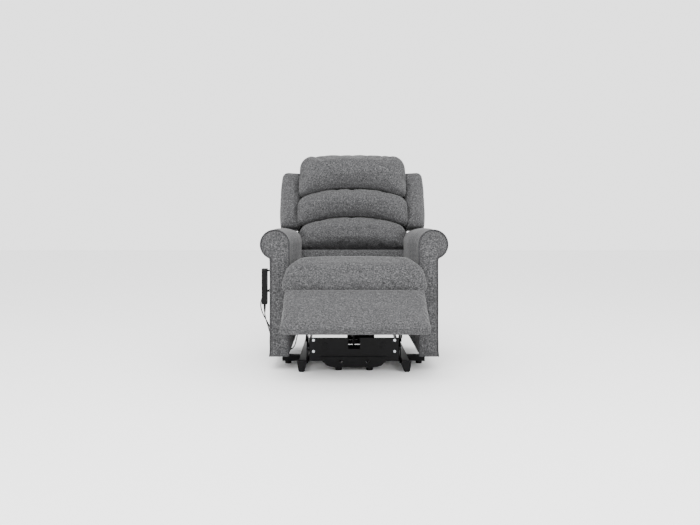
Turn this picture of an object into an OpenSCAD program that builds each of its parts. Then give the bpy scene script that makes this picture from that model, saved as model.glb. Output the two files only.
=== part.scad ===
// Lift and recline armchair.
// The sitter faces -Y, +Z is up, and the floor under the middle of the chair is the origin.

/* [Arms] */
// Clear width between the two arms
arm_gap = 585; // [520:5:660]
// Width of one upholstered arm below its scroll
arm_w = 90; // [80:2:110]
// Length of an arm from its front facing to its rear end
arm_len = 585; // [560:5:620]
// Height of the top of the arm scroll
arm_top = 630; // [600:5:640]
// Height of the lower edge of an arm
arm_bottom = 60; // [56:2:80]
// Diameter of the arm scroll
scroll_d = 130; // [110:2:150]
// Thickness of the padded front facing
facing_t = 22; // [16:1:30]

/* [Seat] */
// Height of the top of the seat cushion
seat_top = 512; // [500:2:520]
// Distance that the seat cushion stands out in front of the arms
seat_overhang = 130; // [118:2:140]
// Width of the seat cushion in front of the arms
seat_front_w = 610; // [590:5:640]
// Depth of a wooden seat rail
rail_h = 52; // [40:2:60]
// Thickness of a wooden seat rail
rail_t = 30; // [22:1:32]

/* [Footrest] */
// Width of the footrest pad
foot_w = 598; // [560:2:620]
// Length of the footrest pad
foot_len = 226; // [200:2:280]
// Thickness of the footrest pad
foot_pad_t = 40; // [30:1:44]
// Angle of the footrest away from hanging straight down
foot_angle = 55; // [0:1:90]

/* [Backrest] */
// Angle of the backrest away from upright
back_angle = 16; // [10:1:24]
// Width of the back cushions
back_w = 544; // [480:4:560]
// Distance along the back from its hinge to the top of the head roll
back_len = 620; // [600:5:680]
// Width of the back across its two wings
wing_span = 756; // [700:4:780]
// Distance along the back from its hinge to the top of a wing
wing_top = 535; // [500:5:560]

/* [Lift base] */
// Height of the base rails and cross tubes
base_h = 30; // [24:1:30]
// Distance between the outer faces of the base rails
base_w = 500; // [500:2:540]
// Length of the base rails
base_len = 605; // [590:5:640]
// Diameter of every pivot pin
pin_d = 10; // [8:0.5:10]
// Running clearance of a pivot pin in its hole, on the radius
pin_fit = 0.05; // [0.03:0.01:0.08]
// Thickness of the steel linkage plates
plate_t = 6; // [5:0.5:6]
// Gap between two neighbouring linkage plates
plate_gap = 2; // [1.5:0.5:2]

/* [Handset] */
// Height of the handset
handset_h = 172; // [150:2:190]
// Depth of the handset from front to back
handset_w = 52; // [44:1:60]
// Thickness of the handset
handset_t = 24; // [20:1:26]
// Diameter of the handset cord
cord_d = 5; // [4:0.5:6]

/* [Hidden] */
$fn = 48;

// Places along the chair are drawn from a cross line behind the arm fronts, and everything is
// then moved by middle, so that the middle of its length is over the origin.
middle = 10;
arm_front = -215;
arm_rear = arm_front + arm_len;

// Pivots of the lift linkage, as [y, z].
link_foot = [-101, 82];
link_head = [195, 106];
guide_foot = [-51, 115];
guide_head = [357, 170];
lift_eye = [-93, 177];
lift_motor_pivot = [345, 60];

// Pivots of the footrest, the cranks that drive it and its motor.
foot_pivot = [-333, 362];
foot_ear_r = 11;
crank_pivot = [-155, 318];
crank_r = 80;
crank_rest = -105;
foot_slot_drop = 42;
foot_slot_rest = -100;
foot_motor_pivot = [325, crank_pivot[1] - foot_slot_drop];

// Pivots of the backrest and its motor.
back_pivot = [285, 400];
back_eye = [298, 321];
back_motor_pivot = [-105, 262];

// Clearances.
slack = 0.3;
bar_inset = 0.3;
open_pivot_fit = 1;
open_eye_r = 12.5;
back_eye_r = 10;

// Steel linkage: the plates lie side by side across the chair.
pin_r = pin_d / 2;
hole_r = pin_r + pin_fit;
step = plate_t + plate_gap;
lug_x = 212;
link_x = lug_x - step;
guide_x = lug_x + step;
mech_x = 246;
crank_x = mech_x - step;
bar_x = crank_x - step;
foot_gap = 12;
tube = 22;
tube_z = 190;
seat_rail_z = 340;
seat_rail_front = -275;
seat_rail_rear = 222;
seat_rail_top = seat_rail_z + rail_h;
webbing_t = 2;

// Base.
base_z = foot_gap;
base_top = base_z + base_h;
rail_outer = base_w / 2;
rail_inner = lug_x + plate_t;
rail_front = -205;
rail_rear = rail_front + base_len;
front_tube_y = -60;
outrigger_x = 335;
front_foot_x = 308;
bow_foot_x = 70;
cover_y = 8;
cover_t = 3;
cover_w = 400;
cover_top = 146;
glide_r = 14.5;

// Arms.
arm_in = arm_gap / 2;
arm_out = arm_in + arm_w;
scroll_r = scroll_d / 2;
scroll_x = arm_out - 27.5;
scroll_z = arm_top - scroll_r;
board_x = arm_in + arm_w / 2 - 8;
board_t = 16;

// Handset and its holder hang on the outer side of one arm.
handset_y = -15;
handset_z = 274;
handset_x = -(arm_out + 28.5);
holder_t = 4;
button_travel = 1.2;
button_y = 13;
cord_r = cord_d / 2;
relief_len = 36;

// Actuators.
rod_r = 9;
sleeve_r = 14;
eye_t = 8;
fork_t = 5;
fork_gap = eye_t / 2 + 1;

// ---------------------------------------------------------------- helpers

module placed() {
  translate([0, middle, 0]) children();
}

// A drawing on the Y-Z plane, t thick from x.
module across(x, t) {
  translate([x, 0, 0]) rotate([90, 0, 90]) linear_extrude(t) children();
}

// The same piece on both sides of the chair.
module both() {
  children();
  mirror([1, 0, 0]) children();
}

// A round pin along X through the point p of the Y-Z plane.
module pin(x, length, p, r = pin_r) {
  translate([x, p[0], p[1]]) rotate([0, 90, 0]) cylinder(h = length, r = r);
}

// A flat bar with round ends from p to q; its sides are set just inside the ends.
module bar(p, q, r) {
  reach = q - p;
  half = r - bar_inset;
  translate(p) circle(r);
  translate(q) circle(r);
  translate(p) rotate(atan2(reach[1], reach[0])) translate([0, -half])
    square([norm(reach), 2 * half]);
}

module hole(p, r = hole_r) {
  translate(p) circle(r);
}

// Turns a piece drawn along +Y from the origin so that it points from p to q.
module aim(x, p, q) {
  reach = q - p;
  translate([x, p[0], p[1]]) rotate([atan2(reach[1], reach[0]), 0, 0]) children();
}

function on_circle(centre, r, a) = centre + r * [cos(a), sin(a)];

// ---------------------------------------------------------------- lift base

module base_rail(side) {
  color("#232325") mirror([side < 0 ? 1 : 0, 0, 0]) {
    translate([rail_inner, rail_front, base_z])
      cube([rail_outer - rail_inner, base_len, base_h]);
    translate([rail_outer, front_tube_y, base_z]) cube([outrigger_x - rail_outer, base_h, base_h - 2]);
    across(lug_x, plate_t) difference() {
      union() {
        bar(link_foot, guide_foot, 15);
        polygon([[-122, base_z + 2], [-30, base_z + 2], [guide_foot[0] + 15, guide_foot[1]],
                 [link_foot[0] - 15, link_foot[1]]]);
      }
      hole(link_foot);
      hole(guide_foot);
    }
  }
}

module base_rail_left() {
  base_rail(-1);
}

module base_rail_right() {
  base_rail(1);
}

module base_front_tube() {
  color("#232325") translate([-lug_x, front_tube_y, base_z]) cube([2 * lug_x, base_h, base_h - 2]);
}

module base_rear_tube() {
  color("#232325") {
    translate([-rail_inner, rail_rear - base_h, base_z]) cube([2 * rail_inner, base_h, base_h]);
    for (x = [-fork_gap - fork_t, fork_gap]) across(x, fork_t) difference() {
      union() {
        translate(lift_motor_pivot) circle(14);
        polygon([[lift_motor_pivot[0] - 6, lift_motor_pivot[1] - 11],
                 [rail_rear - base_h, base_z + 4], [rail_rear - base_h, base_top],
                 [lift_motor_pivot[0] + 6, lift_motor_pivot[1] + 11]]);
      }
      hole(lift_motor_pivot);
    }
  }
}

// The curved front foot in the middle, on two flat bars that run back to the cross tube.
module base_bow() {
  bow_y = arm_front;
  bow_t = cover_y;
  bow_z = 15;
  color("#1e1e20") {
    translate([0, bow_y + bow_t, 0]) rotate([90, 0, 0]) linear_extrude(bow_t) difference() {
      polygon([[-148, 62], [-140, 40], [-122, 24], [-96, 16], [-80, bow_z], [80, bow_z],
               [96, 16], [122, 24], [140, 40], [148, 62]]);
      for (x = [-60, 60]) translate([x, 44]) circle(9);
    }
    both() translate([bow_foot_x - 9, bow_y + bow_t, bow_z])
      cube([18, front_tube_y - bow_y - bow_t, 12]);
  }
}

// Pressed cover behind the bow that hides the lift motor; its notch clears the lift eye.
module base_cover() {
  color("#1e1e20") translate([0, arm_front + cover_y + cover_t, 0]) rotate([90, 0, 0])
    linear_extrude(cover_t) difference() {
      translate([-cover_w / 2, 44]) square([cover_w, cover_top - 44]);
      translate([-26, 96]) square([52, cover_top]);
      for (x = [-130, 130]) translate([x, 112]) circle(12);
    }
}

module cover_bolts() {
  color("#b4b6b8") for (x = [-1, 1], z = [86, cover_top - 10])
    translate([x * (cover_w / 2 - 18), arm_front + cover_y, z]) rotate([90, 0, 0])
      cylinder(h = 3.5, r = 6);
}

module floor_feet() {
  color("#151516") both() {
    translate([front_foot_x, front_tube_y + base_h / 2, 0]) cylinder(h = base_z, r = glide_r);
    translate([bow_foot_x, arm_front + 22, 0]) cylinder(h = 15, r = glide_r);
    translate([rail_outer - 16, rail_rear - base_h / 2, 0]) cylinder(h = base_z, r = glide_r);
  }
}

// Tapered plastic boots close the front ends of the rails and reach the floor.
module rail_boots() {
  boot_x = (rail_outer + rail_inner) / 2;
  color("#19191a") both() translate([boot_x, rail_front, 0]) rotate([90, 0, 0])
    linear_extrude(34) polygon([[-20, 48], [20, 48], [14, 6], [9, 0], [-9, 0], [-14, 6]]);
}

module base_pins() {
  color("#9a9c9f") both() {
    pin(link_x + 0.5, 2 * step, link_foot);
    pin(lug_x - 1, 2 * step, guide_foot);
  }
  color("#9a9c9f") pin(-fork_gap - fork_t - 1, 2 * (fork_gap + fork_t + 1), lift_motor_pivot);
}

// ---------------------------------------------------------------- lift linkage

module lift_links() {
  color("#2b2c2e") both() across(link_x, plate_t) difference() {
    bar(link_foot, link_head, 15);
    hole(link_foot);
    hole(link_head);
  }
}

module lift_tube() {
  color("#2b2c2e") {
    difference() {
      pin(-link_x, 2 * link_x, link_foot, 14);
      pin(-link_x - 1, 2 * link_x + 2, link_foot, 11);
    }
    across(-eye_t / 2, eye_t) difference() {
      union() {
        difference() {
          bar(link_foot, lift_eye, 12);
          hole(link_foot, 13.5);
        }
        translate(lift_eye) circle(open_eye_r + 7);
      }
      hole(lift_eye, open_eye_r);
    }
  }
}

module guide_links() {
  color("#2b2c2e") both() across(guide_x, plate_t) difference() {
    bar(guide_foot, guide_head, 14);
    hole(guide_foot);
    hole(guide_head, pin_r + open_pivot_fit);
  }
}

// ---------------------------------------------------------------- actuators

// Motor, gearbox and sleeve, drawn along +Y from the pivot at the origin.
module motor_unit(sleeve_len, motor_side, box = 56) {
  difference() {
    union() {
      translate([-eye_t / 2, 0, 0]) rotate([0, 90, 0]) cylinder(h = eye_t, r = 11);
      translate([-eye_t / 2, 0, -11]) cube([eye_t, 22, 22]);
      translate([-box / 2, 20, -box / 2 + 4]) cube([box, box + 6, box - 8]);
      translate([0, 20, 0]) rotate([-90, 0, 0]) cylinder(h = sleeve_len - 20, r = sleeve_r);
      translate([motor_side > 0 ? 0 : -box / 2 - 86, 20 + box / 2, 0]) rotate([0, 90, 0])
        cylinder(h = box / 2 + 86, r = 22);
    }
    translate([-eye_t, 0, 0]) rotate([0, 90, 0]) cylinder(h = 2 * eye_t, r = hole_r);
    translate([0, 100, 0]) rotate([-90, 0, 0]) cylinder(h = sleeve_len, r = rod_r + pin_fit);
  }
}

// Rod with a fork and pin on its end; the pin lies at reach from the pivot.
module rod_unit(reach, start, fork_len = 24) {
  yoke_t = 6;
  translate([0, start, 0]) rotate([-90, 0, 0])
    cylinder(h = reach - start - fork_len - yoke_t / 2, r = rod_r);
  translate([-fork_gap - fork_t, reach - fork_len - yoke_t, -10])
    cube([2 * (fork_gap + fork_t), yoke_t, 20]);
  for (x = [-fork_gap - fork_t, fork_gap]) translate([x, reach, 0]) rotate([0, 90, 0]) {
    cylinder(h = fork_t, r = 10);
    translate([-10, -fork_len - 1, 0]) cube([20, fork_len + 1, fork_t]);
  }
  translate([-fork_gap - fork_t, reach, 0]) rotate([0, 90, 0])
    cylinder(h = 2 * (fork_gap + fork_t), r = pin_r);
}

module lift_motor() {
  color("#1b1b1d") aim(0, lift_motor_pivot, lift_eye) motor_unit(385, 1);
}

module lift_rod() {
  color("#b9bbbd") aim(0, lift_motor_pivot, lift_eye)
    rod_unit(norm(lift_eye - lift_motor_pivot), 250, 50);
}

module footrest_motor() {
  foot_eye = [crank_pivot[0] + foot_slot_drop * tan(foot_slot_rest + 90), foot_motor_pivot[1]];
  color("#1b1b1d") aim(70, foot_motor_pivot, foot_eye) motor_unit(388, 1, 50);
}

module footrest_rod() {
  foot_eye = [crank_pivot[0] + foot_slot_drop * tan(foot_slot_rest + 90), foot_motor_pivot[1]];
  color("#b9bbbd") aim(70, foot_motor_pivot, foot_eye)
    rod_unit(foot_motor_pivot[0] - foot_eye[0], 230, 36);
}

module back_motor() {
  color("#1b1b1d") aim(-70, back_motor_pivot, back_eye) motor_unit(310, -1, 50);
}

module back_rod() {
  color("#b9bbbd") aim(-70, back_motor_pivot, back_eye)
    rod_unit(norm(back_eye - back_motor_pivot), 160);
}

// ---------------------------------------------------------------- chair frame

module frame_plates() {
  color("#2b2c2e") both() across(lug_x, plate_t) difference() {
    union() {
      polygon([[-190, 150], [-178, 140], [150, 140], [link_head[0] - 15, link_head[1]],
               [link_head[0] + 15, link_head[1]], [235, 140], [guide_head[0] + 4, 152],
               [guide_head[0] + 16, guide_head[1]], [guide_head[0] + 16, tube_z], [-190, tube_z]]);
      translate(link_head) circle(15);
      translate(guide_head) circle(16);
    }
    hole(link_head);
    hole(guide_head);
  }
}

module cross_tube(y) {
  translate([-arm_in, y, tube_z]) cube([2 * arm_in, tube, tube]);
}

module front_cross_tube() {
  y = arm_front + 25;
  color("#2b2c2e") {
    cross_tube(y);
    for (x = [-fork_gap - fork_t, fork_gap]) across(-70 + x, fork_t) difference() {
      union() {
        translate(back_motor_pivot) circle(13);
        polygon([[y + 2, tube_z + tube], [y + tube, tube_z + 2], [y + tube + 6, tube_z + 8],
                 [back_motor_pivot[0] + 9, back_motor_pivot[1] - 9.3],
                 [back_motor_pivot[0] - 9, back_motor_pivot[1] + 9.3]]);
      }
      hole(back_motor_pivot);
      translate([y, tube_z]) square(tube);
    }
  }
}

module rear_cross_tube() {
  y = guide_head[0] - 17;
  color("#2b2c2e") {
    cross_tube(y);
    for (x = [-fork_gap - fork_t, fork_gap]) across(70 + x, fork_t) difference() {
      union() {
        translate(foot_motor_pivot) circle(13);
        polygon([[y, tube_z + tube], [y + tube, tube_z + tube], [foot_motor_pivot[0] + 13, foot_motor_pivot[1]],
                 [foot_motor_pivot[0] - 13, foot_motor_pivot[1]]]);
      }
      hole(foot_motor_pivot);
    }
  }
}

// Side plates under the seat carry the footrest hinge, the crank and the backrest hinge.
module mechanism_plates() {
  color("#2b2c2e") both() {
    across(mech_x, plate_t) difference() {
      union() {
        polygon([[-286, 376], [-286, 300], [-200, tube_z + tube], [360, tube_z + tube],
                 [360, 240], [330, 300], [303, 400], [267, 400], [235, 338], [-276, 338], [-276, 376]]);
        translate([foot_pivot[0], foot_pivot[1] - foot_ear_r + bar_inset])
          square([50, 2 * (foot_ear_r - bar_inset)]);
        translate(foot_pivot) circle(foot_ear_r);
        translate(back_pivot) circle(18);
      }
      hole(foot_pivot);
      hole(crank_pivot);
      hole(back_pivot, 6 + pin_fit);
      for (y = [-80, 40, 160]) translate([y, 272]) circle(32);
    }
    translate([mech_x + plate_t, -245, seat_rail_z - 3]) cube([arm_in - mech_x - plate_t - 8, 440, 3]);
  }
}

module frame_pins() {
  foot_eye_x = 70;
  color("#9a9c9f") {
    both() {
      pin(link_x - 1, 2 * step, link_head);
      pin(lug_x - 1, 2 * step, guide_head);
      pin(crank_x - 1, 2 * step, foot_pivot);
    }
    pin(foot_eye_x - fork_gap - fork_t - 1, 2 * (fork_gap + fork_t + 1), foot_motor_pivot);
    pin(-foot_eye_x - fork_gap - fork_t - 1, 2 * (fork_gap + fork_t + 1), back_motor_pivot);
  }
}

// ---------------------------------------------------------------- seat

rail_x = arm_in - 7.5;

module seat_front_rail() {
  color("#c9a877") translate([-rail_x, seat_rail_front, seat_rail_z])
    cube([2 * rail_x, rail_t, rail_h]);
}

module seat_rear_rail() {
  color("#c9a877") translate([-rail_x, seat_rail_rear - rail_t, seat_rail_z])
    cube([2 * rail_x, rail_t, rail_h]);
}

module seat_side_rails() {
  y = seat_rail_front + rail_t;
  color("#c9a877") both() translate([rail_x - rail_t, y, seat_rail_z])
    cube([rail_t, seat_rail_rear - rail_t - y, rail_h]);
}

module seat_webbing() {
  strap = 50;
  strap_step = 82;
  color("#2a2a2a") for (i = [-3 : 3])
    translate([i * strap_step - strap / 2, seat_rail_front + 2, seat_rail_top])
      cube([strap, seat_rail_rear - seat_rail_front - 4, webbing_t]);
}

module seat_bolts() {
  color("#b4b6b8") both() for (y = [-220, -80, 60, 170])
    translate([mech_x + plate_t + 16, y, seat_rail_z - 7]) cylinder(h = 4, r = 5.5);
}

module seat_cushion() {
  low = seat_rail_top + webbing_t + slack;
  front = arm_front - seat_overhang;
  nose_low = seat_rail_z + 40;
  color("#8a8b8d") {
    across(-arm_in + 5.5, 2 * arm_in - 11) hull() {
      translate([arm_front + 20, seat_top - 40]) circle(40, $fn = 32);
      translate([165, seat_top - 50]) circle(32, $fn = 32);
      translate([seat_rail_front + 4, low]) square(4);
      translate([193, low]) square(4);
    }
    across(-seat_front_w / 2, seat_front_w) {
      hull() {
        translate([front + 34, seat_top - 34]) circle(34, $fn = 32);
        translate([front + 22, nose_low + 22]) circle(22, $fn = 32);
        translate([seat_rail_front - 5, nose_low]) square([4, seat_top - nose_low]);
      }
      hull() {
        translate([seat_rail_front - 5, low]) square([4, seat_top - low]);
        translate([arm_front - 10, low]) square(4);
        translate([arm_front - 46, seat_top - 40]) circle(40, $fn = 32);
      }
    }
  }
}

// ---------------------------------------------------------------- arms

// Front view of a right arm; its outer side and lower edge can be set in by inset.
module arm_outline(inset = 0) {
  r = scroll_r - inset;
  translate([scroll_x, scroll_z]) circle(r);
  translate([arm_in, arm_bottom + inset])
    square([arm_w - inset, scroll_z - arm_bottom - inset]);
}

module arm(side) {
  inset = 1;
  color("#818284") mirror([side < 0 ? 1 : 0, 0, 0]) difference() {
    translate([0, arm_rear, 0]) rotate([90, 0, 0]) linear_extrude(arm_len - facing_t)
      arm_outline(inset);
    translate([board_x, arm_front, arm_bottom - 1]) cube([board_t, arm_len - 15, scroll_z - arm_bottom - 9]);
  }
}

module arm_left() {
  arm(-1);
}

module arm_right() {
  arm(1);
}

module facing(side) {
  color("#6e6f71") mirror([side < 0 ? 1 : 0, 0, 0]) translate([0, arm_front + facing_t, 0])
    rotate([90, 0, 0]) linear_extrude(facing_t) arm_outline();
}

module facing_left() {
  facing(-1);
}

module facing_right() {
  facing(1);
}

module arm_boards() {
  color("#c9a877") both() translate([board_x, arm_front + facing_t, arm_bottom + 6])
    cube([board_t, arm_len - facing_t - 15, scroll_z - arm_bottom - 16]);
}

// Panel across the back of the seat frame, notched round the heads of the guide links.
module rear_valance() {
  notch = [2 * step + 8, 192];
  color("#747577") difference() {
    translate([-arm_in + 4, guide_head[0] + 5, 120]) cube([2 * arm_in - 8, 8, 220]);
    both() translate([lug_x - 4, guide_head[0], 0]) cube([notch[0], 20, notch[1]]);
  }
}

// Control box with its mains inlet facing the back of the chair.
module control_box() {
  box = [100, 50, 44];
  corner = [-212, 300, tube_z + tube];
  color("#1d1d1f") translate(corner) difference() {
    cube(box);
    translate([36, box[1] - 14, 10]) cube([28, 15, 20]);
    translate([-1, 25, 22]) rotate([0, 90, 0]) cylinder(h = 9, r = cord_r);
  }
}

// ---------------------------------------------------------------- handset

module handset_holder() {
  arm_face = -arm_out + 1;
  color("#161617") {
    translate([arm_face - holder_t, handset_y - 22, handset_z + 36]) cube([holder_t, 44, 140]);
    for (z = [62, 160]) translate([handset_x, handset_y - 6, handset_z + z - 4])
      cube([arm_face - holder_t - handset_x, 12, 8]);
  }
}

module handset() {
  color("#1a1a1c") difference() {
    translate([handset_x - handset_t, handset_y, handset_z]) hull() {
      for (y = [-1, 1], z = [10, handset_h - 12]) translate([0, y * (handset_w / 2 - 10), z])
        rotate([0, 90, 0]) cylinder(h = handset_t, r = 10, $fn = 32);
    }
    for (row = [0, 1], y = [-button_y, button_y])
      translate([handset_x - handset_t - 1, handset_y + y, handset_z + 104 + 30 * row])
        rotate([0, 90, 0]) cylinder(h = 7, r = 8.4);
  }
}

// A round push button in its well; it stands 1.5 mm proud of the handset.
module button(row, y) {
  color("#d8d9da") translate([handset_x - handset_t - 1.5, handset_y + y, handset_z + 104 + 30 * row])
    rotate([0, 90, 0]) cylinder(h = 7.5 - button_travel - slack, r = 8);
}

module button_lift_up() {
  button(1, -button_y);
}

module button_lift_down() {
  button(0, -button_y);
}

module button_recline() {
  button(1, button_y);
}

module button_upright() {
  button(0, button_y);
}

module strain_relief() {
  color("#141415") difference() {
    translate([handset_x - handset_t / 2, handset_y, handset_z - relief_len])
      cylinder(h = relief_len, r1 = 4, r2 = 6.5);
    translate([handset_x - handset_t / 2, handset_y, handset_z - relief_len - 1])
      cylinder(h = 9, r = cord_r);
  }
}

// The cord hangs from the handset, goes up over the holder's lower peg and down under the arm.
cord_points = [
  [-423, -15, 246], [-423, -15, 226], [-419, -15, 205], [-411, -12, 180], [-403, -4, 150],
  [-399, 10, 124], [-398, 28, 112], [-400, 46, 122], [-405, 53, 146], [-413, 57, 170],
  [-430, 57, 196], [-445, 51, 230], [-451, 43, 261], [-445, 35, 296], [-430, 28, 318],
  [-412, 20, 335], [-398, 6, 346], [-393, -10, 350], [-391, -24, 346], [-390, -32, 330],
  [-389, -34, 300], [-389, -34, 260], [-389, -34, 215], [-389, -34, 175], [-389, -30, 130],
  [-390, -24, 90], [-387, -18, 58], [-374, -12, 51], [-352, -6, 50], [-330, 0, 50],
  [-304, 10, 51], [-286, 24, 60], [-279, 44, 80], [-275, 76, 106], [-268, 120, 132],
  [-262, 168, 156], [-256, 214, 178], [-248, 258, 200], [-240, 292, 218], [-230, 314, 230],
  [-220, 324, 234], [-206, 325, 234]
];

cord_sides = 8;
cord_rings = 2;

// Catmull-Rom point between the second and third of four points.
function spline(a, b, c, d, t) =
  0.5 * ((2 * b) + (c - a) * t + (2 * a - 5 * b + 4 * c - d) * t * t
         + (3 * b - a - 3 * c + d) * t * t * t);

function along(points) = [
  for (i = [0 : len(points) - 2], k = [0 : cord_rings - 1])
    spline(points[max(i - 1, 0)], points[i], points[i + 1],
           points[min(i + 2, len(points) - 1)], k / cord_rings),
  points[len(points) - 1]
];

function unit(v) = v / norm(v);

function heading(path, i) =
  unit(path[min(i + 1, len(path) - 1)] - path[max(i - 1, 0)]);

// Carries the side direction from ring to ring, so the tube doesn't twist.
function sides(path, i, side) =
  let (flat = unit(side - (side * heading(path, i)) * heading(path, i)))
    i == len(path) - 1 ? [flat] : concat([flat], sides(path, i + 1, flat));

module tube_along(path, r) {
  side = sides(path, 0, [0, 1, 0]);
  n = cord_sides;
  last = len(path) - 1;
  points = [
    for (i = [0 : last], k = [0 : n - 1])
      let (up = cross(heading(path, i), side[i]))
        path[i] + r * (cos(360 * k / n) * side[i] + sin(360 * k / n) * up)
  ];
  walls = [
    for (i = [0 : last - 1], k = [0 : n - 1])
      let (a = i * n + k, b = i * n + (k + 1) % n) each [[a, a + n, b + n], [a, b + n, b]]
  ];
  ends = [[for (k = [0 : n - 1]) k], [for (k = [n - 1 : -1 : 0]) last * n + k]];
  polyhedron(points, concat(walls, ends), convexity = 8);
}

module handset_cord() {
  color("#151516") tube_along(along(cord_points), cord_r - 0.1);
}

// Saddle clips hold the cord on the arm's side and under the arm.
module cord_clips() {
  color("#161617") {
    difference() {
      translate([-arm_out - 10.5, -39, 190]) cube([11.5, 10, 10]);
      translate([-389, -34, 189]) cylinder(h = 12, r = cord_r + slack);
    }
    difference() {
      translate([-335, -8, 46]) cube([10, 16, arm_bottom + 1 - 46]);
      translate([-337, -1.8, 50]) rotate([0, 90, 14]) cylinder(h = 16, r = cord_r + 2 * slack);
    }
  }
}

// ---------------------------------------------------------------- footrest

// Footrest pieces are drawn hanging straight down and turned to the rest angle.
module foot_place() {
  translate([0, foot_pivot[0], foot_pivot[1]]) rotate([-foot_angle, 0, 0]) children();
}

foot_start = 12;
foot_board_end = 28;
foot_board_t = 12;
foot_pad_front = -10;
foot_board_y = foot_pad_front + foot_pad_t;
foot_eye_local = crank_r * [cos(crank_rest + foot_angle), sin(crank_rest + foot_angle)];

module footrest_pad() {
  color("#838486") foot_place() across(-foot_w / 2, foot_w) hull() {
    translate([foot_pad_front + 14, -foot_start - 14]) circle(14, $fn = 32);
    translate([foot_pad_front + 18, -foot_start - foot_len + 18]) circle(18, $fn = 32);
    translate([foot_board_y - 4.3, -foot_start - 6]) square(4);
    translate([foot_board_y - 4.3, -foot_start - foot_len + 4]) square(4);
  }
}

module footrest_board() {
  color("#c9a877") foot_place()
    translate([-foot_w / 2 + 30, foot_board_y, -foot_start - foot_len + foot_board_end])
      cube([foot_w - 60, foot_board_t, foot_len - foot_board_end - 12]);
}

module footrest_brackets() {
  back = foot_board_y + foot_board_t;
  color("#2b2c2e") foot_place() both() across(crank_x, plate_t) difference() {
    union() {
      circle(13);
      translate([0, -13]) square([back + 11, 26]);
      translate([back, -180]) square([11, 180]);
      translate([back, foot_eye_local[1] - 12]) square([foot_eye_local[0] - back, 24]);
      translate(foot_eye_local) circle(12);
    }
    hole([0, 0]);
    translate([-20, -200]) square([back + 20, 200 - foot_start + 3]);
  }
  color("#9a9c9f") foot_place() both() pin(bar_x - 1, plate_t + plate_gap + 1, foot_eye_local);
}

crank_eye = on_circle(crank_pivot, crank_r, crank_rest);
foot_eye_rest = on_circle(foot_pivot, crank_r, crank_rest);

module footrest_cranks() {
  color("#2b2c2e") both() across(crank_x, plate_t) difference() {
    bar(crank_pivot, crank_eye, 12);
    hole(crank_pivot);
  }
  color("#9a9c9f") both() pin(bar_x - 1, plate_t + plate_gap + 1, crank_eye);
}

module crank_tube() {
  slot_in = foot_slot_drop - 3;
  slot_out = foot_slot_drop / cos(45) + 3;
  slot_r = pin_r + 4.6;
  a = foot_slot_rest;
  color("#2b2c2e") {
    pin(-crank_x, 2 * crank_x, crank_pivot, 11);
    both() pin(crank_x - 1, 2 * step - 1, crank_pivot);
    across(70 - eye_t / 2, eye_t) difference() {
      bar(crank_pivot, on_circle(crank_pivot, slot_out, a), 15);
      bar(on_circle(crank_pivot, slot_in, a), on_circle(crank_pivot, slot_out, a), slot_r);
    }
  }
}

module push_bars() {
  color("#2b2c2e") both() across(bar_x, plate_t) difference() {
    bar(crank_eye, foot_eye_rest, 9);
    hole(crank_eye);
    hole(foot_eye_rest, pin_r + open_pivot_fit / 2);
  }
}

// ---------------------------------------------------------------- backrest

// Backrest pieces are drawn upright with the hinge at the origin and leaned to the rest angle.
module back_place() {
  translate([0, back_pivot[0], back_pivot[1]]) rotate([-back_angle, 0, 0]) children();
}

board_front = -20;
board_back = -4;
board_low = 30;
shell_back = 62;
shell_mid = 40;
shell_low = -45;
wing_low = 247;
wing_front = -70;
roll_front = -120;
back_board_top = back_len - 45;

module back_board() {
  color("#c9a877") back_place() translate([-back_w / 2, board_front, board_low])
    cube([back_w, board_back - board_front, back_board_top - board_low]);
}

// Outside back: narrow between the arms, wide behind the wings, round at the top.
module back_shell() {
  hinge_w = crank_x - 2;
  hinge_top = 60;
  low_w = arm_gap / 2 - 20;
  high_w = wing_span / 2 - 6;
  color("#747577") back_place() {
    translate([0, shell_back, 0]) rotate([90, 0, 0]) linear_extrude(shell_back - shell_mid) {
      translate([-hinge_w, shell_low]) square([2 * hinge_w, hinge_top - shell_low]);
      translate([-low_w, hinge_top]) square([2 * low_w, wing_low - hinge_top]);
      translate([-high_w, wing_low]) square([2 * high_w, wing_top - 30 - wing_low]);
      polygon([[-high_w, wing_top - 30], [high_w, wing_top - 30], [high_w - 24, wing_top],
               [back_w / 2, back_board_top - 12], [back_w / 2 - 24, back_board_top + 10],
               [-back_w / 2 + 24, back_board_top + 10], [-back_w / 2, back_board_top - 12],
               [-high_w + 24, wing_top]]);
    }
    translate([-back_w / 2 + 46, board_back, board_low])
      cube([back_w - 92, shell_mid - board_back, back_board_top - board_low]);
  }
}

module wing(side) {
  inner = back_w / 2 + 4;
  outer = wing_span / 2;
  color("#77787a") mirror([side < 0 ? 1 : 0, 0, 0]) back_place()
    across(inner, outer - inner) hull() {
      translate([wing_front + 30, wing_top - 30]) circle(30, $fn = 32);
      translate([wing_front + 25, wing_low + 60]) circle(25, $fn = 32);
      translate([-10, wing_low]) square([shell_mid + 10 - slack, 4]);
      translate([0, wing_top - 4]) square([shell_mid - slack, 4]);
    }
}

module wing_left() {
  wing(-1);
}

module wing_right() {
  wing(1);
}

// One horizontal roll of the back cushion between two heights along the back.
module roll(low, high, half_w) {
  r = 34;
  color("#7c7d7f") back_place() across(-half_w, 2 * half_w) hull() {
    translate([roll_front + r, low + r + 2]) circle(r, $fn = 32);
    translate([roll_front + r + 4, high - r - 2]) circle(r, $fn = 32);
    translate([board_front - slack - 4, low + 1]) square([4, high - low - 2]);
  }
}

seam_low = 285;
seam_high = 441;
roll_low = 103;

module lumbar_roll() {
  roll(roll_low, seam_low, back_w / 2);
}

module middle_roll() {
  roll(seam_low, seam_high, back_w / 2);
}

module head_roll() {
  roll(seam_high, back_len, back_w / 2);
}

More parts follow.
